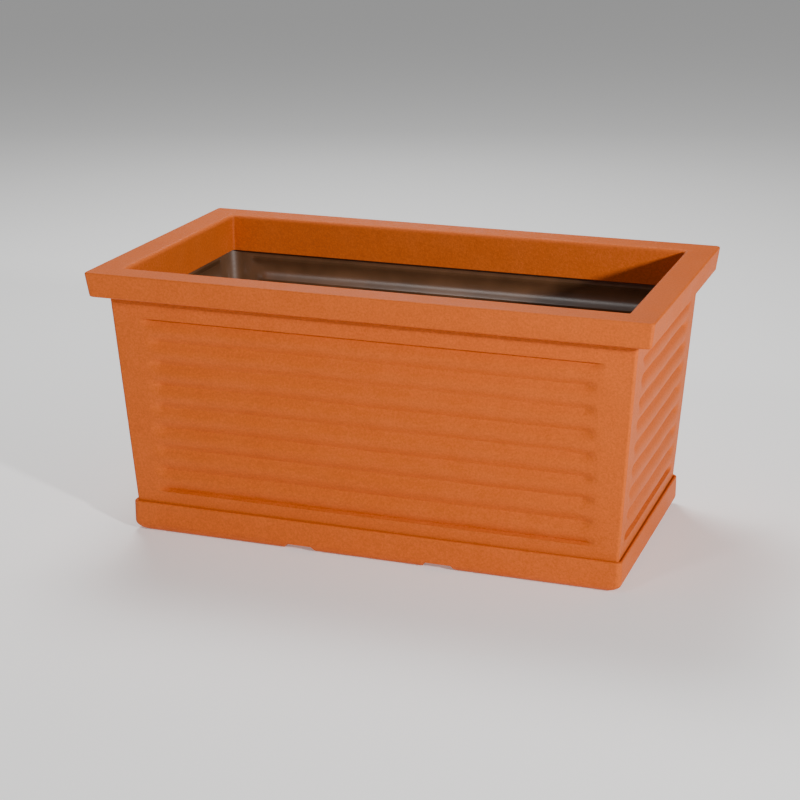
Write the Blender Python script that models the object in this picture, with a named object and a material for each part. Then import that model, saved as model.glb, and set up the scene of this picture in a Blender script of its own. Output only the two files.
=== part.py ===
"""A rectangular garden trough with a ribbed wall and a saucer.

The trough is rotationally moulded from polyethylene in two shots: a terracotta
shell with a hollow rim, and a dark layer that lines all of its inside. It stands
on two ridges of its saucer, and six push-in plugs close the drain holes in its
floor. Metres, +Z up. The origin is on the ground, under the middle of the saucer.
"""
import math

import bmesh
import bpy

# Overall sizes of the trough
RIM_LENGTH = 0.800
RIM_WIDTH = 0.450
POT_HEIGHT = 0.3764

# Rim: a hollow box section whose inner side, the skirt, hangs into the opening
FASCIA_HEIGHT = 0.036
FASCIA_DRAFT = 0.004
RIM_FACE_WIDTH = 0.0435
SKIRT_DEPTH = 0.056
RIM_OVERHANG = 0.025
RIM_EDGE_RADIUS = 0.0025
RIM_INNER_EDGE_RADIUS = 0.006
RIM_CORNER_RADIUS = 0.004
SKIRT_CORNER_RADIUS = 0.008

# Wall: inset per metre of drop, corners, and the rounding between wall and floor
WALL_LEAN = 0.0654
WALL_CORNER_RADIUS = 0.007
INSIDE_CORNER_RADIUS = 0.022
FLOOR_EDGE_RADIUS = 0.012

# The two moulded layers, with the gap that keeps them separate solids
SHELL_THICKNESS = 0.0030
LAYER_THICKNESS = 0.0017
TOUCH_GAP = 0.0003

# Recessed panel of ribs on each wall
RIB_COUNT = 8
RIB_DEPTH = 0.0035
PANEL_BELOW_RIM = 0.028
PANEL_ABOVE_BASE = 0.048
PANEL_STEP = 0.004
PANEL_END_MARGIN_LONG = 0.055
PANEL_END_MARGIN_SHORT = 0.045
PANEL_END_FADE = 0.014

# Saucer
SAUCER_HEIGHT = 0.0455
SAUCER_THICKNESS = 0.0043
SAUCER_CLEARANCE = 0.0007
SAUCER_EDGE_RADIUS = 0.014
SAUCER_END_RADIUS = 0.026
SAUCER_CORNER_RADIUS = 0.008
CHANNEL_HEIGHT = 0.009
CHANNEL_TOP_WIDTH = 0.037
CHANNEL_FOOT_WIDTH = 0.050
CHANNEL_OFFSET = 0.103

# Drain holes and plugs
PLUG_ROWS = 2
PLUG_COLUMNS = 3
PLUG_SPACING_LONG = 0.230
PLUG_SPACING_SHORT = 0.180
HOLE_RADIUS = 0.012
PLUG_CLEARANCE = 0.0003
PLUG_FLANGE_WIDTH = 0.005
PLUG_FLANGE_THICKNESS = 0.003
PLUG_WALL = 0.0025
PLUG_GRIP_LENGTH = 0.020
PLUG_GRIP_WIDTH = 0.004
PLUG_GRIP_HEIGHT = 0.009

# Steps in a round stretch
CORNER_STEPS = 2
EDGE_STEPS = 3
ROUND_STEPS = 24

# Heights that follow from the sizes above
POT_BASE = CHANNEL_HEIGHT + SAUCER_THICKNESS + TOUCH_GAP
RIM_TOP = POT_BASE + POT_HEIGHT
FASCIA_BOTTOM = RIM_TOP - FASCIA_HEIGHT
SKIRT_BOTTOM = RIM_TOP - SKIRT_DEPTH
PANEL_TOP = FASCIA_BOTTOM - PANEL_BELOW_RIM
PANEL_BOTTOM = POT_BASE + PANEL_ABOVE_BASE
LAYER_OUTSIDE = SHELL_THICKNESS + TOUCH_GAP
LAYER_INSIDE = LAYER_OUTSIDE + LAYER_THICKNESS
WALL_TOP_LONG = RIM_LENGTH / 2 - RIM_OVERHANG
WALL_TOP_SHORT = RIM_WIDTH / 2 - RIM_OVERHANG


def clear_scene():
    for old in list(bpy.data.objects):
        bpy.data.objects.remove(old)


def plastic(name, colour, roughness):
    """A moulded plastic, its colour given in linear RGB."""
    material = bpy.data.materials.new(name)
    material.use_nodes = True
    shader = material.node_tree.nodes["Principled BSDF"]
    shader.inputs["Base Color"].default_value = (*colour, 1.0)
    shader.inputs["Roughness"].default_value = roughness
    shader.inputs["Metallic"].default_value = 0.0
    return material


def wall_inset(height):
    """How far the wall stands inside the rim's outline at this height."""
    return RIM_OVERHANG + WALL_LEAN * (FASCIA_BOTTOM - height)


def rib_depth(height):
    """Depth of the ribbed surface below the wall: a row of cosine waves between two short steps."""
    low, high = PANEL_BOTTOM + PANEL_STEP, PANEL_TOP - PANEL_STEP
    if height <= PANEL_BOTTOM or height >= PANEL_TOP:
        return 0.0
    if height < low:
        return RIB_DEPTH * (height - PANEL_BOTTOM) / PANEL_STEP
    if height > high:
        return RIB_DEPTH * (PANEL_TOP - height) / PANEL_STEP
    pitch = (high - low) / RIB_COUNT
    return RIB_DEPTH * (1 + math.cos(2 * math.pi * (height - low) / pitch)) / 2


def rib_heights(steps):
    """Heights of the rows that a ribbed wall needs, with this many rows to a rib."""
    low, high = PANEL_BOTTOM + PANEL_STEP, PANEL_TOP - PANEL_STEP
    rows = RIB_COUNT * steps
    waves = [low + (high - low) * row / rows for row in range(rows + 1)]
    return [PANEL_BOTTOM, *waves, PANEL_TOP]


def side_stations(panel_half_length, straight_half_length):
    """Places along one wall where the panel starts and ends, kept clear of the corners."""
    outer = min(panel_half_length, straight_half_length - 0.001)
    inner = outer - PANEL_END_FADE
    return [(-outer, 0.0), (-inner, 1.0), (inner, 1.0), (outer, 0.0)]


def ring(inset, height, radius, depth=0.0, end_inset=0.0):
    """A rounded rectangle inside the rim's outline, pushed in by depth along the panels."""
    half_x, half_y = RIM_LENGTH / 2 - inset - end_inset, RIM_WIDTH / 2 - inset
    long_side = side_stations(WALL_TOP_LONG - PANEL_END_MARGIN_LONG, half_x - radius)
    short_side = side_stations(WALL_TOP_SHORT - PANEL_END_MARGIN_SHORT, half_y - radius)
    points = []
    for turn, stations in enumerate((long_side, short_side, long_side, short_side)):
        along, out = (half_x, half_y) if turn % 2 == 0 else (half_y, half_x)
        local = [(place, -out + depth * share) for place, share in stations]
        centre = (along - radius, -out + radius)
        for step in range(CORNER_STEPS + 1):
            angle = -math.pi / 2 + math.pi / 2 * step / CORNER_STEPS
            local.append((centre[0] + radius * math.cos(angle), centre[1] + radius * math.sin(angle)))
        cosine, sine = ((1, 0), (0, 1), (-1, 0), (0, -1))[turn]
        for x, y in local:
            points.append((x * cosine - y * sine, x * sine + y * cosine, height))
    return points


def edge_arc(inset, height, radius, start, end):
    """Points of an arc in the cross-section, as (inset, height), between two angles in degrees."""
    angles = [math.radians(start + (end - start) * step / EDGE_STEPS) for step in range(EDGE_STEPS + 1)]
    return [(inset - radius * math.cos(angle), height + radius * math.sin(angle)) for angle in angles]


def body_rings(offset, rib_steps, corner_radius):
    """The trough's surface, offset inwards, as rings from the floor up the wall and round to the skirt."""
    base_inset = wall_inset(POT_BASE + FLOOR_EDGE_RADIUS) + FLOOR_EDGE_RADIUS
    base_height = POT_BASE + FLOOR_EDGE_RADIUS
    rings = []
    for inset, height in edge_arc(base_inset, base_height, FLOOR_EDGE_RADIUS - offset, -90, 0):
        rings.append(ring(inset, height, corner_radius))
    for height in rib_heights(rib_steps):
        rings.append(ring(wall_inset(height) + offset, height, corner_radius, rib_depth(height)))
    under = FASCIA_BOTTOM + offset
    rings.append(ring(wall_inset(under) + offset, under, corner_radius))
    rings.append(ring(FASCIA_DRAFT + offset, under, RIM_CORNER_RADIUS))
    top = RIM_TOP - offset
    if offset == 0:
        edge = RIM_EDGE_RADIUS
        for inset, height in edge_arc(edge, RIM_TOP - edge, edge, 0, 90):
            rings.append(ring(inset, height, RIM_CORNER_RADIUS))
        edge = RIM_INNER_EDGE_RADIUS
        for inset, height in edge_arc(RIM_FACE_WIDTH - edge, RIM_TOP - edge, edge, 90, 180):
            rings.append(ring(inset, height, SKIRT_CORNER_RADIUS))
    else:
        rings.append(ring(offset, top, RIM_CORNER_RADIUS))
        rings.append(ring(RIM_FACE_WIDTH - offset, top, SKIRT_CORNER_RADIUS + offset))
    rings.append(ring(RIM_FACE_WIDTH - offset, SKIRT_BOTTOM, SKIRT_CORNER_RADIUS + offset))
    return rings


def lofted(name, rings, material):
    """One closed solid through a row of rings, with a flat face over the first and the last.

    Every diagonal rises the same way, so that two nested surfaces stay a gap apart.
    """
    bm = bmesh.new()
    loops = [[bm.verts.new(point) for point in points] for points in rings]
    for pair in zip(loops, loops[1:]):
        lower, upper = sorted(pair, key=lambda loop: loop[0].co.z)
        for index in range(len(lower)):
            after = (index + 1) % len(lower)
            bm.faces.new((lower[index], lower[after], upper[after]))
            bm.faces.new((lower[index], upper[after], upper[index]))
    bm.faces.new(loops[0])
    bm.faces.new(loops[-1])
    bmesh.ops.recalc_face_normals(bm, faces=bm.faces)
    return finished(name, bm, material)


def finished(name, bm, material):
    """Turns a bmesh into a named object with its material."""
    mesh = bpy.data.meshes.new(name)
    bm.to_mesh(mesh)
    bm.free()
    mesh.materials.append(material)
    mesh.shade_smooth()
    mesh.set_sharp_from_angle(angle=math.radians(35))
    made = bpy.data.objects.new(name, mesh)
    bpy.context.scene.collection.objects.link(made)
    return made


def boolean(target, tool, operation):
    """Adds a Boolean with a helper object, which is left out of the model."""
    tool.hide_render = True
    tool.display_type = "WIRE"
    modifier = target.modifiers.new(tool.name, "BOOLEAN")
    modifier.operation = operation
    modifier.object = tool


def disc_tool(name, centre, radius, low, high):
    """An upright cylinder for cutting a round hole."""
    bm = bmesh.new()
    bmesh.ops.create_cone(
        bm, cap_ends=True, segments=ROUND_STEPS, radius1=radius, radius2=radius, depth=high - low
    )
    bmesh.ops.translate(bm, verts=bm.verts, vec=(*centre, (low + high) / 2))
    return finished(name, bm, None)


def plug_places():
    """Centres of the drain holes, row by row."""
    return [
        ((column - (PLUG_COLUMNS - 1) / 2) * PLUG_SPACING_LONG, (row - (PLUG_ROWS - 1) / 2) * PLUG_SPACING_SHORT)
        for row in range(PLUG_ROWS)
        for column in range(PLUG_COLUMNS)
    ]


def cut_drain_holes(target):
    for number, place in enumerate(plug_places(), 1):
        low, high = POT_BASE - 0.01, POT_BASE + LAYER_INSIDE + 0.01
        tool = disc_tool(f"{target.name}_hole_{number}", place, HOLE_RADIUS, low, high)
        boolean(target, tool, "DIFFERENCE")


def planter_shell(material):
    """The terracotta shell: floor, ribbed wall, hollow rim and skirt."""
    outside = body_rings(0.0, 4, WALL_CORNER_RADIUS)
    inside = body_rings(SHELL_THICKNESS, 2, WALL_CORNER_RADIUS)
    shell = lofted("planter_shell", outside + inside[::-1], material)
    cut_drain_holes(shell)
    return shell


def inner_layer(material):
    """The dark second shot, which lines the shell from its floor to behind the skirt."""
    outside = body_rings(LAYER_OUTSIDE, 2, WALL_CORNER_RADIUS)
    inside = body_rings(LAYER_INSIDE, 2, INSIDE_CORNER_RADIUS)
    layer = lofted("inner_layer", outside + inside[::-1], material)
    cut_drain_holes(layer)
    return layer


def saucer_inset(clearance):
    """Inset of the saucer's wall, which clears the trough's wall at the saucer's lip."""
    return wall_inset(SAUCER_HEIGHT) - SAUCER_CLEARANCE - clearance


def channel_half_width(height):
    """Half the width of a channel at this height, on its slanted sides."""
    return (CHANNEL_FOOT_WIDTH + (CHANNEL_TOP_WIDTH - CHANNEL_FOOT_WIDTH) * height / CHANNEL_HEIGHT) / 2


def ridge_prism(name, centre, grow, low, half_reach):
    """A trapezium bar across the saucer: the channel under it, or the ridge round that channel."""
    high = CHANNEL_HEIGHT + grow
    foot, top = channel_half_width(low) + grow, channel_half_width(high) + grow
    outline = [(-foot, low), (foot, low), (top, high), (-top, high)]
    bm = bmesh.new()
    base = bm.faces.new([bm.verts.new((centre + x, -half_reach, z)) for x, z in outline])
    end = bmesh.ops.extrude_face_region(bm, geom=[base])["geom"]
    moved = [item for item in end if isinstance(item, bmesh.types.BMVert)]
    bmesh.ops.translate(bm, verts=moved, vec=(0, 2 * half_reach, 0))
    bmesh.ops.recalc_face_normals(bm, faces=bm.faces)
    return finished(name, bm, None)


def saucer_ring(inset, height, wall_inset_here):
    """A ring of the saucer. Its foot is rounded further in at the two ends than along the sides."""
    stretch = SAUCER_END_RADIUS / SAUCER_EDGE_RADIUS - 1
    return ring(inset, height, SAUCER_CORNER_RADIUS, 0.0, stretch * (inset - wall_inset_here))


def saucer_side(wall_inset_here, floor_height):
    """Rings of one side of the saucer's wall, from its floor up to the end of its rounded foot."""
    radius = SAUCER_EDGE_RADIUS
    arc = edge_arc(wall_inset_here + radius, floor_height + radius, radius, -90, 0)
    return [saucer_ring(inset, height, wall_inset_here) for inset, height in arc]


def saucer(material):
    """A shallow tray with a rounded foot, a rolled lip and two channels under its floor."""
    outer, inner = saucer_inset(SAUCER_THICKNESS), saucer_inset(0.0)
    lip = SAUCER_THICKNESS / 2
    rings = saucer_side(outer, 0.0)
    for inset, height in edge_arc(outer + lip, SAUCER_HEIGHT - lip, lip, 0, 180):
        rings.append(ring(inset, height, SAUCER_CORNER_RADIUS))
    rings += saucer_side(inner, SAUCER_THICKNESS)[::-1]
    body = lofted("saucer", rings, material)
    for side in (-1, 1):
        low = SAUCER_THICKNESS / 2
        ridge = ridge_prism(f"ridge_{side}", side * CHANNEL_OFFSET, SAUCER_THICKNESS, low, RIM_WIDTH / 2)
        middle = outer + lip
        trim = saucer_side(middle, 0.0) + [ring(middle, SAUCER_HEIGHT, SAUCER_CORNER_RADIUS)]
        boolean(ridge, lofted(f"ridge_trim_{side}", trim, None), "INTERSECT")
        boolean(body, ridge, "UNION")
    for side in (-1, 1):
        channel = ridge_prism(f"channel_{side}", side * CHANNEL_OFFSET, 0.0, -0.01, RIM_WIDTH)
        boolean(body, channel, "DIFFERENCE")
    return body


def drain_plug(number, place, material):
    """A push-in plug: a hollow shank in the hole, a flange on the floor and a bar to pull it by."""
    floor = POT_BASE + LAYER_INSIDE + TOUCH_GAP
    foot = POT_BASE + TOUCH_GAP
    shank = HOLE_RADIUS - PLUG_CLEARANCE
    flange = HOLE_RADIUS + PLUG_FLANGE_WIDTH
    bore = shank - PLUG_WALL
    profile = [(0, floor), (bore, floor), (bore, foot), (shank, foot), (shank, floor), (flange, floor)]
    profile += [(flange, floor + PLUG_FLANGE_THICKNESS), (0, floor + PLUG_FLANGE_THICKNESS)]
    bm = bmesh.new()
    points = [bm.verts.new((radius, 0, height)) for radius, height in profile]
    edges = [bm.edges.new(pair) for pair in zip(points, points[1:])]
    bmesh.ops.spin(
        bm, geom=points + edges, axis=(0, 0, 1), cent=(0, 0, 0), angle=2 * math.pi, steps=ROUND_STEPS
    )
    bmesh.ops.remove_doubles(bm, verts=bm.verts, dist=1e-6)
    bmesh.ops.recalc_face_normals(bm, faces=bm.faces)
    plug = finished(f"drain_plug_{number}", bm, material)
    plug.location = (*place, 0)
    grip = plug_grip(f"plug_grip_{number}", floor + PLUG_FLANGE_THICKNESS)
    grip.location = plug.location
    boolean(plug, grip, "UNION")
    return plug


def plug_grip(name, flange_top):
    """The bar on top of a plug, sunk a little into its flange."""
    bm = bmesh.new()
    bmesh.ops.create_cube(bm, size=1.0)
    sunk = PLUG_FLANGE_THICKNESS / 2
    size = (PLUG_GRIP_LENGTH, PLUG_GRIP_WIDTH, PLUG_GRIP_HEIGHT + sunk)
    bmesh.ops.scale(bm, verts=bm.verts, vec=size)
    bmesh.ops.translate(bm, verts=bm.verts, vec=(0, 0, flange_top + (PLUG_GRIP_HEIGHT - sunk) / 2))
    upright = [edge for edge in bm.edges if abs(edge.verts[0].co.z - edge.verts[1].co.z) > sunk]
    bmesh.ops.bevel(bm, geom=upright, offset=PLUG_GRIP_WIDTH / 3, segments=1, affect="EDGES")
    return finished(name, bm, None)


def main():
    clear_scene()
    terracotta = plastic("terracotta_polyethylene", (0.54, 0.125, 0.03), 0.6)
    tray = plastic("saucer_polyethylene", (0.57, 0.14, 0.033), 0.6)
    dark = plastic("dark_inner_polyethylene", (0.035, 0.022, 0.014), 0.3)
    rubber = plastic("plug_rubber", (0.02, 0.02, 0.02), 0.7)
    planter_shell(terracotta)
    inner_layer(dark)
    saucer(tray)
    for number, place in enumerate(plug_places(), 1):
        drain_plug(number, place, rubber)


main()
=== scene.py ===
import math

import bmesh
import bpy
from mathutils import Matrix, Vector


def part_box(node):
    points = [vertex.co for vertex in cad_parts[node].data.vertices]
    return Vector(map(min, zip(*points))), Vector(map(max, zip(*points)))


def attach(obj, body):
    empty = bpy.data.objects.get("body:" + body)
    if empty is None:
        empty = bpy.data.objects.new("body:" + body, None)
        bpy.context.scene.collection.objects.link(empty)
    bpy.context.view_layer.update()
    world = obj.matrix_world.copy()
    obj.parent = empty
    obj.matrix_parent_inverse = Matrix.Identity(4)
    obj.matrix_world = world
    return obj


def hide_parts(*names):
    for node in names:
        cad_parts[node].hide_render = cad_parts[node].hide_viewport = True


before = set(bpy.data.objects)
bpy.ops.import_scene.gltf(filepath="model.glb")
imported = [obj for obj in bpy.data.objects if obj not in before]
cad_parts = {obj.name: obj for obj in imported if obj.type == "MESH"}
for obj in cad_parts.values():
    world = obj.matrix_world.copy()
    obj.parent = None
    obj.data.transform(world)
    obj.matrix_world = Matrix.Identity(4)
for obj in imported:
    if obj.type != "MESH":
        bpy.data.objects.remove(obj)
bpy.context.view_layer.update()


# --- Saucer ---------------------------------------------------------------------------------
# The tray under the trough: polyethylene, moulded in one piece. Its foot is well rounded, its
# lip is round, and two channels across the underside stiffen it and carry the trough.

SAUCER_HALF_LENGTH = 0.3599
SAUCER_HALF_WIDTH = 0.1849
SAUCER_WALL = 0.0043
SAUCER_LIP_HEIGHT = 0.0454
SAUCER_FOOT_RADIUS = 0.014
SAUCER_END_REACH = 0.026
SAUCER_CORNER = 0.0075
CHANNEL_PLACES = (-0.103, 0.103)
CHANNEL_RISE = 0.009


def linear(code):
    """An sRGB hex colour as linear RGBA."""
    parts = [int(code[at : at + 2], 16) / 255 for at in (0, 2, 4)]
    return [part / 12.92 if part <= 0.04045 else ((part + 0.055) / 1.055) ** 2.4 for part in parts] + [1.0]


def add_node(material, kind, inputs, **settings):
    """Adds a shader node: inputs are values or other nodes' outputs, settings are its properties."""
    node = material.node_tree.nodes.new("ShaderNode" + kind)
    for name, value in settings.items():
        setattr(node, name, value)
    for name, value in inputs.items():
        if isinstance(value, bpy.types.NodeSocket):
            material.node_tree.links.new(value, node.inputs[name])
        else:
            node.inputs[name].default_value = value
    return node


def mould_plate(name, half_length, half_width, height, corner):
    """Starts a moulding: a flat plate with rounded corners, left in edit mode with its face selected."""
    bpy.ops.object.select_all(action="DESELECT")
    bpy.ops.mesh.primitive_plane_add(size=2)
    plate = bpy.context.object
    plate.name = name
    bpy.ops.object.mode_set(mode="EDIT")
    bpy.ops.transform.resize(value=(half_length, half_width, 1))
    bpy.ops.mesh.bevel(offset=corner, segments=6, affect="VERTICES")
    bpy.ops.mesh.select_all(action="SELECT")
    bpy.ops.transform.translate(value=(0, 0, height))
    return plate


def draw_up(half_length, half_width, section):
    """Draws the selected plate through a section, one extrusion to each point.

    A point is (inset from the end, inset from the side, height).
    """
    (last_end, last_side, last_height), *steps = section
    for end, side, height in steps:
        bpy.ops.mesh.extrude_region_move(TRANSFORM_OT_translate={"value": (0, 0, height - last_height)})
        longer = (half_length - end) / (half_length - last_end)
        wider = (half_width - side) / (half_width - last_side)
        bpy.ops.transform.resize(value=(longer, wider, 1), center_override=(0, 0, height))
        last_end, last_side, last_height = end, side, height


def turned_edge(inset, height, radius, start, end, steps=5, end_reach=None):
    """Section points round an edge, between two angles in degrees; 0 points out and 90 up.

    The edge of a foot can reach further in at the ends than its radius along the sides.
    """
    share = (end_reach or radius) / radius
    points = []
    for step in range(steps + 1):
        turn = math.radians(start + (end - start) * step / steps)
        across = -radius * math.cos(turn)
        outer = inset - radius
        points.append((outer + (radius + across) * share, inset + across, height + radius * math.sin(turn)))
    return points


def smooth_skin(piece):
    """Smooths the selected piece as a mould would leave it: rounds run on and flat faces stay flat."""
    bpy.ops.object.shade_smooth_by_angle(angle=math.radians(32))
    weighted = piece.modifiers.new("flat faces stay flat", "WEIGHTED_NORMAL")
    weighted.keep_sharp = True
    bpy.ops.object.modifier_apply(modifier=weighted.name)


def finish_moulding(piece):
    """Leaves edit mode with every face turned outwards and the skin smooth."""
    bpy.ops.mesh.select_all(action="SELECT")
    bpy.ops.mesh.normals_make_consistent(inside=False)
    bpy.ops.object.mode_set(mode="OBJECT")
    smooth_skin(piece)


def cut_with(piece, cutter, operation):
    """Applies a Boolean with another object, and then throws that object away."""
    bpy.ops.object.select_all(action="DESELECT")
    piece.select_set(True)
    bpy.context.view_layer.objects.active = piece
    boolean = piece.modifiers.new("cut", "BOOLEAN")
    boolean.operation = operation
    boolean.solver = "EXACT"
    boolean.object = cutter
    bpy.ops.object.modifier_apply(modifier=boolean.name)
    bpy.data.objects.remove(cutter)


def channel_bar(centre, low, high, half_foot, half_top, half_reach):
    """A bar with slanted sides that runs across the saucer, from one height to another."""
    bpy.ops.object.select_all(action="DESELECT")
    bpy.ops.mesh.primitive_cube_add(size=2, location=(centre, 0, (low + high) / 2))
    bar = bpy.context.object
    bpy.ops.object.mode_set(mode="EDIT")
    bpy.ops.transform.resize(value=(half_foot, half_reach, (high - low) / 2))
    bpy.ops.mesh.select_all(action="DESELECT")
    bpy.ops.mesh.select_mode(type="FACE")
    shape = bmesh.from_edit_mesh(bar.data)
    for face in shape.faces:
        face.select_set(face.normal.z > 0.9)
    bmesh.update_edit_mesh(bar.data)
    bpy.ops.transform.resize(value=(half_top / half_foot, 1, 1), center_override=(centre, 0, high))
    bpy.ops.object.mode_set(mode="OBJECT")
    bpy.ops.object.transform_apply(location=True, rotation=True, scale=True)
    return bar


saucer_foot = turned_edge(
    SAUCER_FOOT_RADIUS, SAUCER_FOOT_RADIUS, SAUCER_FOOT_RADIUS, -90, 0, 8, SAUCER_END_REACH
)
# The lip is a half round as thick as the wall.
lip = SAUCER_WALL / 2
saucer_lip = turned_edge(lip, SAUCER_LIP_HEIGHT - lip, lip, 0, 180, 6)
inner_foot = SAUCER_WALL + SAUCER_FOOT_RADIUS
saucer_inside = turned_edge(inner_foot, inner_foot, SAUCER_FOOT_RADIUS, 0, -90, 8, SAUCER_END_REACH)
foot_length = SAUCER_HALF_LENGTH - SAUCER_END_REACH
foot_width = SAUCER_HALF_WIDTH - SAUCER_FOOT_RADIUS
saucer = mould_plate("saucer_tray", foot_length, foot_width, 0, SAUCER_CORNER)
draw_up(SAUCER_HALF_LENGTH, SAUCER_HALF_WIDTH, saucer_foot + saucer_lip + saucer_inside)
finish_moulding(saucer)
# The ridge over each channel stops inside the saucer's own wall, so a plain block of the
# saucer's outline, half a wall in, trims its two ends.
for place in CHANNEL_PLACES:
    block = mould_plate("trim", foot_length - lip, foot_width - lip, 0, SAUCER_CORNER)
    trim_foot = [(end + lip, side + lip, height) for end, side, height in saucer_foot]
    draw_up(SAUCER_HALF_LENGTH, SAUCER_HALF_WIDTH, trim_foot + [(lip, lip, 0.040)])
    finish_moulding(block)
    ridge = channel_bar(
        place, low=0.0020, high=CHANNEL_RISE + SAUCER_WALL, half_foot=0.0280, half_top=0.0200, half_reach=0.25
    )
    cut_with(ridge, block, "INTERSECT")
    cut_with(saucer, ridge, "UNION")
for place in CHANNEL_PLACES:
    channel = channel_bar(
        place, low=-0.010, high=CHANNEL_RISE, half_foot=0.0320, half_top=0.0185, half_reach=0.25
    )
    cut_with(saucer, channel, "DIFFERENCE")
bpy.ops.object.shade_smooth_by_angle(angle=math.radians(30))


def moulded_polyethylene(name, main, deep, pale, grain):
    """Rotationally moulded polyethylene: pigment powder that melted against a blasted mould.

    It gives a matt skin with a fine even tooth, a faint cloudiness where the powder ran thicker,
    and a slightly greasy sheen at low angles.
    """
    material = bpy.data.materials.new(name)
    material.use_nodes = True
    shader = material.node_tree.nodes["Principled BSDF"]
    place = add_node(material, "TexCoord", {}).outputs["Object"]
    # The clouds are some 45 mm wide. The powder's flecks are under 1 mm, too fine to show, so they
    # are drawn 3 mm wide.
    cloud = add_node(
        material, "TexNoise", {"Vector": place, "Scale": 1 / 0.045, "Detail": 3.0, "Roughness": 0.6}
    )
    fleck = add_node(
        material, "TexNoise", {"Vector": place, "Scale": 1 / 0.0030, "Detail": 3.0, "Roughness": 0.75}
    )
    tint = add_node(material, "ValToRGB", {"Fac": cloud.outputs["Fac"]})
    tint.color_ramp.elements[0].position = 0.30
    tint.color_ramp.elements[0].color = linear(deep)
    tint.color_ramp.elements[1].position = 0.72
    tint.color_ramp.elements[1].color = linear(pale)
    middle = tint.color_ramp.elements.new(0.5)
    middle.color = linear(main)
    speck = add_node(
        material, "MapRange",
        {"Value": fleck.outputs["Fac"], "From Min": 0.35, "From Max": 0.65, "To Min": 0.87, "To Max": 1.13},
    )
    toned = add_node(
        material, "HueSaturation", {"Color": tint.outputs["Color"], "Value": speck.outputs["Result"]}
    )
    material.node_tree.links.new(toned.outputs["Color"], shader.inputs["Base Color"])
    sheen = add_node(
        material, "MapRange",
        {"Value": cloud.outputs["Fac"], "From Min": 0.3, "From Max": 0.7, "To Min": 0.50, "To Max": 0.60},
    )
    material.node_tree.links.new(sheen.outputs["Result"], shader.inputs["Roughness"])
    tooth = add_node(
        material, "TexNoise", {"Vector": place, "Scale": 1 / grain, "Detail": 2.0, "Roughness": 0.6}
    )
    bump = add_node(
        material, "Bump", {"Height": tooth.outputs["Fac"], "Distance": 0.0008, "Strength": 0.6}
    )
    material.node_tree.links.new(bump.outputs["Normal"], shader.inputs["Normal"])
    shader.inputs["IOR"].default_value = 1.51
    shader.inputs["Specular IOR Level"].default_value = 0.12
    shader.inputs["Metallic"].default_value = 0.0
    return material


# The real tooth is about 0.2 mm, too fine to show, so it is drawn 2.4 mm wide.
saucer.data.materials.append(
    moulded_polyethylene("moulded_polyethylene_saucer", "C85E1F", "C65C1D", "CA6022", 0.0024)
)
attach(saucer, "saucer")
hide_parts("saucer")


# --- Trough shell ---------------------------------------------------------------------------
# The terracotta outer shot: floor, leaning walls, and a hollow rim that turns down into the
# opening as a skirt. The skirt's lower edge is where the moulding was cut open with a knife.

RIM_HALF_LENGTH = 0.400
RIM_HALF_WIDTH = 0.225
RIM_TOP = 0.390
RIM_UNDERSIDE = 0.354
RIM_FACE = 0.0435
SKIRT_EDGE = 0.334
SKIRT_WALL = 0.0042
FLOOR_UNDERSIDE = 0.0136
SHELL_WALL = 0.0030
WALL_FOOT = 0.012
SHELL_CORNER = 0.0038
PANEL_TOP = 0.3240
PANEL_BOTTOM = 0.0636
RIBS = 8
ROWS_TO_A_RIB = 16
RIB_DEPTH = 0.0058
PANEL_END_X = 0.336
PANEL_END_Y = 0.161
PANEL_END_ZONE = 0.034
RIB_END_LONG = 0.326
RIB_END_SHORT = 0.158
RIB_RUN_OUT = 0.024
LEDGE_FOOT = 0.308
LEDGE_BLEND = 0.010
CREASE_ROUND = 0.10
CREASE_FULL = 0.905


def lean(height):
    """How far the wall's outer face stands in from the rim's edge at a height."""
    return 0.025 + 0.0654 * (RIM_UNDERSIDE - height)


def choose(piece, kind, test):
    """Selects the vertices, edges or faces that pass a test on the mesh in edit mode."""
    bpy.ops.mesh.select_mode(type={"verts": "VERT", "edges": "EDGE", "faces": "FACE"}[kind])
    bpy.ops.mesh.select_all(action="DESELECT")
    shape = bmesh.from_edit_mesh(piece.data)
    for part in getattr(shape, kind):
        if test(part):
            part.select_set(True)
    shape.select_flush_mode()
    bmesh.update_edit_mesh(piece.data)


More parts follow.
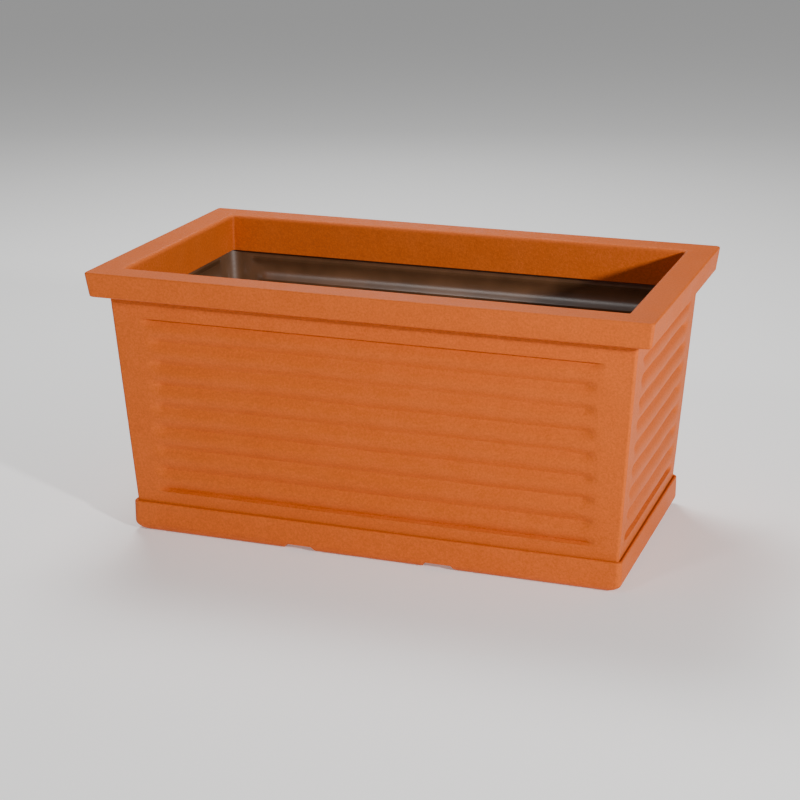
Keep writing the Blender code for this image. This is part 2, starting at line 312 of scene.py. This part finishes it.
def press_ribs(piece, facing, inset_low, inset_high, rows, end_cuts):
    """Divides the four wall faces that look out (1) or in (-1) into a fine panel and presses ribs in it."""

    def on_wall(face):
        middle, normal = face.calc_center_median(), face.normal
        if not PANEL_BOTTOM < middle.z < PANEL_TOP:
            return False
        wall_y = RIM_HALF_WIDTH - lean(middle.z)
        wall_x = RIM_HALF_LENGTH - lean(middle.z)
        if abs(normal.y) > 0.9:
            depth, out = wall_y - abs(middle.y), normal.y * middle.y
        elif abs(normal.x) > 0.9:
            depth, out = wall_x - abs(middle.x), normal.x * middle.x
        else:
            return False
        return inset_low < depth < inset_high and out * facing > 0

    def in_panel(point):
        if not PANEL_BOTTOM - 1e-5 < point.z < PANEL_TOP + 1e-5:
            return False
        return abs(point.x) < PANEL_END_X + 1e-5 or abs(point.y) < PANEL_END_Y + 1e-5

    # A strip at each end of a panel, where the ribs run out, is divided more finely along.
    cuts = [(side * (end - back), axis) for axis, end in ((0, PANEL_END_X), (1, PANEL_END_Y))
            for side in (-1, 1) for back in (0.0, PANEL_END_ZONE)]
    for place, axis in cuts:
        choose(piece, "faces", on_wall)
        point, normal = [0, 0, 0], [0, 0, 0]
        point[axis], normal[axis] = place, 1
        bpy.ops.mesh.bisect(plane_co=point, plane_no=normal)

    def panel_edges(upright, short):
        def test(edge):
            if not any(on_wall(face) for face in edge.link_faces):
                return False
            first, second = (vert.co for vert in edge.verts)
            if not (in_panel(first) and in_panel(second)):
                return False
            if upright:
                return abs(first.z - second.z) > 0.1
            return abs(first.z - second.z) < 1e-5 and (edge.calc_length() < 0.04) == short
        return test

    choose(piece, "edges", panel_edges(False, True))
    bpy.ops.mesh.subdivide(number_cuts=end_cuts, quadcorner="INNERVERT")
    choose(piece, "edges", panel_edges(False, False))
    bpy.ops.mesh.subdivide(number_cuts=7, quadcorner="INNERVERT")
    choose(piece, "edges", panel_edges(True, False))
    bpy.ops.mesh.subdivide(number_cuts=rows, quadcorner="INNERVERT")

    row = (PANEL_TOP - PANEL_BOTTOM) / (RIBS * ROWS_TO_A_RIB + 2)
    pitch = row * ROWS_TO_A_RIB
    shape = bmesh.from_edit_mesh(piece.data)
    pressed = {vert for face in shape.faces if on_wall(face) for vert in face.verts}
    for vert in pressed:
        x, y, z = vert.co
        on_long = RIM_HALF_WIDTH - abs(y) < RIM_HALF_LENGTH - abs(x)
        along, end, rib_end = (
            (abs(x), PANEL_END_X, RIB_END_LONG) if on_long else (abs(y), PANEL_END_Y, RIB_END_SHORT)
        )
        if not (PANEL_BOTTOM + 1e-5 < z < PANEL_TOP - 1e-5) or along >= end:
            continue
        # The grooves aren't quite straight, and each is narrow, between two broad round ribs.
        wander = 0.0007 * math.sin(along / 0.047 + 9 * z) + 0.0005 * math.sin(along / 0.021 - 40 * z)
        ribs_up = (z + wander * min(1.0, (PANEL_TOP - z) / 0.02) - PANEL_BOTTOM - row) / pitch
        swell = abs(math.sin(math.pi * ribs_up))
        crease = (swell * swell + CREASE_ROUND**2) ** 0.5 - CREASE_ROUND
        wave = (1.0 - crease / CREASE_FULL) ** 1.1
        # Only the top ledge is as long as the panel, and the ribs run out short of its ends.
        under_ledge = min(1.0, max(0.0, (z - LEDGE_FOOT) / LEDGE_BLEND))
        end -= (end - rib_end) * (1 - under_ledge)
        fade = min(1.0, max(0.0, (end - along) / RIB_RUN_OUT))
        fade = fade * fade * (3 - 2 * fade)
        depth = RIB_DEPTH * wave * fade
        if on_long:
            vert.co.y -= math.copysign(depth, y)
        else:
            vert.co.x -= math.copysign(depth, x)
    bmesh.update_edit_mesh(piece.data)


def straight(*points):
    """Section points that stand in as far at the ends as at the sides, from (inset, height) pairs."""
    return [(inset, inset, height) for inset, height in points]


foot_height = FLOOR_UNDERSIDE + WALL_FOOT
floor_length = RIM_HALF_LENGTH - lean(foot_height) - WALL_FOOT
floor_width = RIM_HALF_WIDTH - lean(foot_height) - WALL_FOOT
shell = mould_plate("trough_shell", floor_length, floor_width, FLOOR_UNDERSIDE, SHELL_CORNER)
inside_top = RIM_UNDERSIDE + SHELL_WALL
skirt_back = RIM_FACE - SKIRT_WALL
shell_section = turned_edge(lean(foot_height) + WALL_FOOT, foot_height, WALL_FOOT, -90, 0)
shell_section += straight(*((lean(height), height) for height in (PANEL_BOTTOM, PANEL_TOP)))
shell_section += turned_edge(lean(RIM_UNDERSIDE) - 0.0018, RIM_UNDERSIDE - 0.0018, 0.0018, 180, 90, 3)
# The rim's outer face leans: it stands in 3.8 mm at its lower edge.
shell_section += turned_edge(0.0038 + 0.0034, RIM_UNDERSIDE + 0.0034, 0.0034, -90, 0, 4)
shell_section += turned_edge(0.0026, RIM_TOP - 0.0026, 0.0026, 8, 90, 4)
shell_section += turned_edge(RIM_FACE - 0.0065, RIM_TOP - 0.0065, 0.0065, 90, 180, 6)
shell_section += straight((RIM_FACE, SKIRT_EDGE + 0.0006), (RIM_FACE - 0.0006, SKIRT_EDGE))
shell_section += straight((skirt_back + 0.0006, SKIRT_EDGE), (skirt_back, SKIRT_EDGE + 0.0006))
shell_section += straight((skirt_back, RIM_TOP - 0.008), (skirt_back - 0.005, RIM_TOP - SHELL_WALL))
shell_section += straight((0.006, RIM_TOP - SHELL_WALL), (0.0032, RIM_TOP - 0.006), (0.0072, inside_top))
shell_section += straight((lean(inside_top) + SHELL_WALL, inside_top))
shell_section += straight(*((lean(height) + SHELL_WALL, height) for height in (PANEL_TOP, PANEL_BOTTOM)))
shell_section += turned_edge(lean(foot_height) + WALL_FOOT, foot_height, WALL_FOOT - SHELL_WALL, 0, -90)
draw_up(RIM_HALF_LENGTH, RIM_HALF_WIDTH, shell_section)
# The face that shows is divided finely, and the one behind it more coarsely.
press_ribs(shell, 1, -0.001, 0.0022, RIBS * ROWS_TO_A_RIB + 1, 13)
press_ribs(shell, -1, 0.0022, 0.0040, RIBS * ROWS_TO_A_RIB // 2, 5)
finish_moulding(shell)
shell.data.materials.append(
    moulded_polyethylene("moulded_polyethylene_terracotta", "C75D1E", "C55B1C", "C95F21", 0.0024)
)
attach(shell, "planter")
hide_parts("planter_shell")


# --- Dark lining ----------------------------------------------------------------------------
# The second shot, which lined the hot shell from inside. It cooled against air and not against
# a mould, so it is smooth and a little glossy, and it fills the corners to a wide round.

LINING_OUTSIDE = 0.0033
LINING_INSIDE = 0.0050
LINING_CORNER = 0.021

lining = mould_plate(
    "dark_lining", floor_length, floor_width, FLOOR_UNDERSIDE + LINING_OUTSIDE, LINING_CORNER
)
lining_section = turned_edge(lean(foot_height) + WALL_FOOT, foot_height, WALL_FOOT - LINING_OUTSIDE, -90, 0)
lining_section += straight(*((lean(height) + LINING_OUTSIDE, height) for height in (PANEL_BOTTOM, PANEL_TOP)))
# At its top the lining turns outwards and stops inside the hollow rim.
lining_section += straight(
    (lean(0.3560) + LINING_OUTSIDE, 0.3560), (lean(0.3575) + LINING_OUTSIDE - 0.0015, 0.3580)
)
lining_section += straight((0.0150, 0.3580), (0.0150, 0.3597))
lining_section += straight(
    (lean(0.3590) + LINING_OUTSIDE - 0.0005, 0.3597), (lean(0.3570) + LINING_INSIDE, 0.3575)
)
lining_section += straight(*((lean(height) + LINING_INSIDE, height) for height in (PANEL_TOP, PANEL_BOTTOM)))
lining_section += turned_edge(lean(foot_height) + WALL_FOOT, foot_height, WALL_FOOT - LINING_INSIDE, 0, -90)
draw_up(RIM_HALF_LENGTH, RIM_HALF_WIDTH, lining_section)
press_ribs(lining, 1, 0.0025, 0.0042, RIBS * ROWS_TO_A_RIB // 2, 5)
press_ribs(lining, -1, 0.0042, 0.0060, RIBS * ROWS_TO_A_RIB + 1, 13)
finish_moulding(lining)

dark = bpy.data.materials.new("air_cooled_polyethylene_dark_brown")
dark.use_nodes = True
dark_shader = dark.node_tree.nodes["Principled BSDF"]
dark_place = add_node(dark, "TexCoord", {}).outputs["Object"]
# The colour varies at random, lighter and darker in soft patches some 50 mm wide.
lining_patches = add_node(dark, "TexNoise", {"Vector": dark_place, "Scale": 1 / 0.050, "Detail": 2.0, "Roughness": 0.5})
dark_tint = add_node(dark, "ValToRGB", {"Fac": lining_patches.outputs["Fac"]})
dark_tint.color_ramp.elements[0].position = 0.3
dark_tint.color_ramp.elements[0].color = linear("573A23")
dark_tint.color_ramp.elements[1].position = 0.7
dark_tint.color_ramp.elements[1].color = linear("6E4B31")
dark.node_tree.links.new(dark_tint.outputs["Color"], dark_shader.inputs["Base Color"])
peel = add_node(dark, "TexNoise", {"Vector": dark_place, "Scale": 1 / 0.004, "Detail": 1.0, "Roughness": 0.5})
peel_bump = add_node(dark, "Bump", {"Height": peel.outputs["Fac"], "Distance": 0.0003, "Strength": 0.25})
dark.node_tree.links.new(peel_bump.outputs["Normal"], dark_shader.inputs["Normal"])
dark_shader.inputs["Roughness"].default_value = 0.34
dark_shader.inputs["IOR"].default_value = 1.51
dark_shader.inputs["Specular IOR Level"].default_value = 0.9
lining.data.materials.append(dark)
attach(lining, "planter")
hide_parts("inner_layer")


# --- Drain holes and plugs ------------------------------------------------------------------
# Six holes are drilled through both layers of the floor. Each is closed with a push-in plug of
# black rubber: a hollow shank, a domed flange that seals on the floor, and a bar to pull it by.

HOLE_RADIUS = 0.012
PLUG_NOSE_RADIUS = 0.0092
PLUG_NOSE_DEPTH = 0.003
SHANK_LENGTH = 0.0050
PULL_BAR_LENGTH = 0.0200
PULL_BAR_WIDTH = 0.0040

for number in range(1, 7):
    low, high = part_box(f"drain_plug_{number}")
    centre_x, centre_y = (low[0] + high[0]) / 2, (low[1] + high[1]) / 2
    for layer in (shell, lining):
        bpy.ops.object.select_all(action="DESELECT")
        bpy.ops.mesh.primitive_cylinder_add(
            vertices=48, radius=HOLE_RADIUS, depth=0.03, location=(centre_x, centre_y, FLOOR_UNDERSIDE)
        )
        drill = bpy.context.object
        bpy.ops.object.transform_apply(location=True, rotation=True, scale=True)
        cut_with(layer, drill, "DIFFERENCE")

rubber = bpy.data.materials.new("moulded_rubber_black")
rubber.use_nodes = True
rubber_shader = rubber.node_tree.nodes["Principled BSDF"]
rubber_place = add_node(rubber, "TexCoord", {}).outputs["Object"]
# Bloom of wax on the rubber greys it in soft patches about 8 mm wide.
bloom = add_node(
    rubber, "TexNoise", {"Vector": rubber_place, "Scale": 1 / 0.008, "Detail": 3.0, "Roughness": 0.6}
)
rubber_tint = add_node(rubber, "ValToRGB", {"Fac": bloom.outputs["Fac"]})
rubber_tint.color_ramp.elements[0].position = 0.35
rubber_tint.color_ramp.elements[0].color = linear("242424")
rubber_tint.color_ramp.elements[1].position = 0.7
rubber_tint.color_ramp.elements[1].color = linear("323130")
rubber.node_tree.links.new(rubber_tint.outputs["Color"], rubber_shader.inputs["Base Color"])
rubber_shader.inputs["Roughness"].default_value = 0.62
rubber_shader.inputs["IOR"].default_value = 1.52

for number in range(1, 7):
    low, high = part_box(f"drain_plug_{number}")
    centre_x, centre_y = (low[0] + high[0]) / 2, (low[1] + high[1]) / 2
    foot, flange, bar_top = low[2], low[2] + SHANK_LENGTH, high[2]
    bpy.ops.object.select_all(action="DESELECT")
    bpy.ops.mesh.primitive_circle_add(
        vertices=48, radius=PLUG_NOSE_RADIUS, fill_type="NGON",
        location=(centre_x, centre_y, foot + PLUG_NOSE_DEPTH),
    )
    plug = bpy.context.object
    plug.name = f"plug_{number}_bung"
    bpy.ops.object.mode_set(mode="EDIT")
    bpy.ops.mesh.select_all(action="SELECT")
    radius, height = PLUG_NOSE_RADIUS, foot + PLUG_NOSE_DEPTH
    # Out round the shank's hollow end and up its side, then round the flange and over its dome.
    outline = [(PLUG_NOSE_RADIUS, foot), (0.0109, foot), (0.0114, foot + 0.0009)]
    outline += [(0.0117, foot + 0.0024), (0.0117, flange), (0.0166, flange), (0.0170, flange + 0.0005)]
    outline += [(0.0168, flange + 0.0014), (0.0158, flange + 0.0022), (0.0140, flange + 0.0026)]
    outline += [(0.0110, flange + 0.0028), (0.0104, flange + 0.0030)]
    for next_radius, next_height in outline:
        bpy.ops.mesh.extrude_region_move(TRANSFORM_OT_translate={"value": (0, 0, next_height - height)})
        grow = next_radius / radius
        bpy.ops.transform.resize(value=(grow, grow, 1), center_override=(centre_x, centre_y, next_height))
        radius, height = next_radius, next_height
    bpy.ops.mesh.select_all(action="SELECT")
    bpy.ops.mesh.normals_make_consistent(inside=False)
    bpy.ops.object.mode_set(mode="OBJECT")
    bpy.ops.object.transform_apply(location=True, rotation=True, scale=True)

    bpy.ops.object.select_all(action="DESELECT")
    bpy.ops.mesh.primitive_cube_add(size=1, location=(centre_x, centre_y, (flange + 0.001 + bar_top) / 2))
    bar = bpy.context.object
    bpy.ops.object.mode_set(mode="EDIT")
    bpy.ops.transform.resize(value=(PULL_BAR_LENGTH, PULL_BAR_WIDTH, bar_top - flange - 0.001))
    bpy.ops.mesh.select_all(action="SELECT")
    bpy.ops.mesh.bevel(offset=0.0013, segments=3, affect="EDGES")
    bpy.ops.object.mode_set(mode="OBJECT")
    bpy.ops.object.transform_apply(location=True, rotation=True, scale=True)
    cut_with(plug, bar, "UNION")
    bpy.ops.object.shade_smooth_by_angle(angle=math.radians(35))
    plug.data.materials.append(rubber)
    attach(plug, f"plug_{number}")
    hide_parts(f"drain_plug_{number}")

# Drilling the holes upset the shading of both layers, so they are smoothed again.
for layer in (shell, lining):
    bpy.ops.object.select_all(action="DESELECT")
    layer.select_set(True)
    bpy.context.view_layer.objects.active = layer
    smooth_skin(layer)


# --- Floor, light and camera ----------------------------------------------------------------
# A plain pale floor. The small key light stands on the right and throws the rim's shadow across
# the far side of the opening. A broad one hangs overhead, a weak one fills the front, and one
# behind puts a sheen on the rim.

bpy.ops.object.select_all(action="DESELECT")
bpy.ops.mesh.primitive_plane_add(size=60, location=(0, 0, -0.0003))
studio_floor = bpy.context.object
studio_floor.name = "studio_floor"
floor_paint = bpy.data.materials.new("matt_white_paint")
floor_paint.use_nodes = True
floor_shader = floor_paint.node_tree.nodes["Principled BSDF"]
floor_shader.inputs["Base Color"].default_value = linear("F6F6F5")
floor_shader.inputs["Roughness"].default_value = 0.9
floor_shader.inputs["Emission Color"].default_value = (1.0, 1.0, 1.0, 1.0)
floor_shader.inputs["Emission Strength"].default_value = 0.20
studio_floor.data.materials.append(floor_paint)

world = bpy.data.worlds.new("studio")
bpy.context.scene.world = world
world.use_nodes = True
world.node_tree.nodes["Background"].inputs["Color"].default_value = (1.0, 1.0, 1.0, 1.0)
world.node_tree.nodes["Background"].inputs["Strength"].default_value = 0.12


def softbox(name, place, target, size, power):
    """A square studio light aimed at a point."""
    lamp = bpy.data.lights.new(name, "AREA")
    lamp.size = size
    lamp.energy = power
    light = bpy.data.objects.new(name, lamp)
    bpy.context.scene.collection.objects.link(light)
    light.location = place
    direction = [target[axis] - place[axis] for axis in range(3)]
    yaw = math.atan2(direction[1], direction[0]) - math.pi / 2
    pitch = math.atan2(direction[2], math.hypot(direction[0], direction[1])) + math.pi / 2
    light.rotation_euler = (pitch, 0, yaw)


softbox("key_from_right", (2.78, -1.95, 1.34), (0, 0, 0.30), 0.20, 122)
softbox("overhead", (-0.7, 1.00, 2.4), (0, 0.2, 0.3), 1.1, 56)
softbox("front_fill", (-0.9, -2.6, 2.2), (0, 0, 0.3), 0.4, 14)
softbox("back_sheen", (-0.9, 2.6, 1.4), (0, 0, 0.39), 0.8, 5)

lens = bpy.data.cameras.new("product_camera")
lens.sensor_width = 36
lens.lens = 86.89
camera = bpy.data.objects.new("product_camera", lens)
bpy.context.scene.collection.objects.link(camera)
camera.location = (0.8692, -2.5204, 1.0366)
camera.rotation_euler = (math.pi / 2 - 0.311, 0, 0.3378)
bpy.context.scene.camera = camera
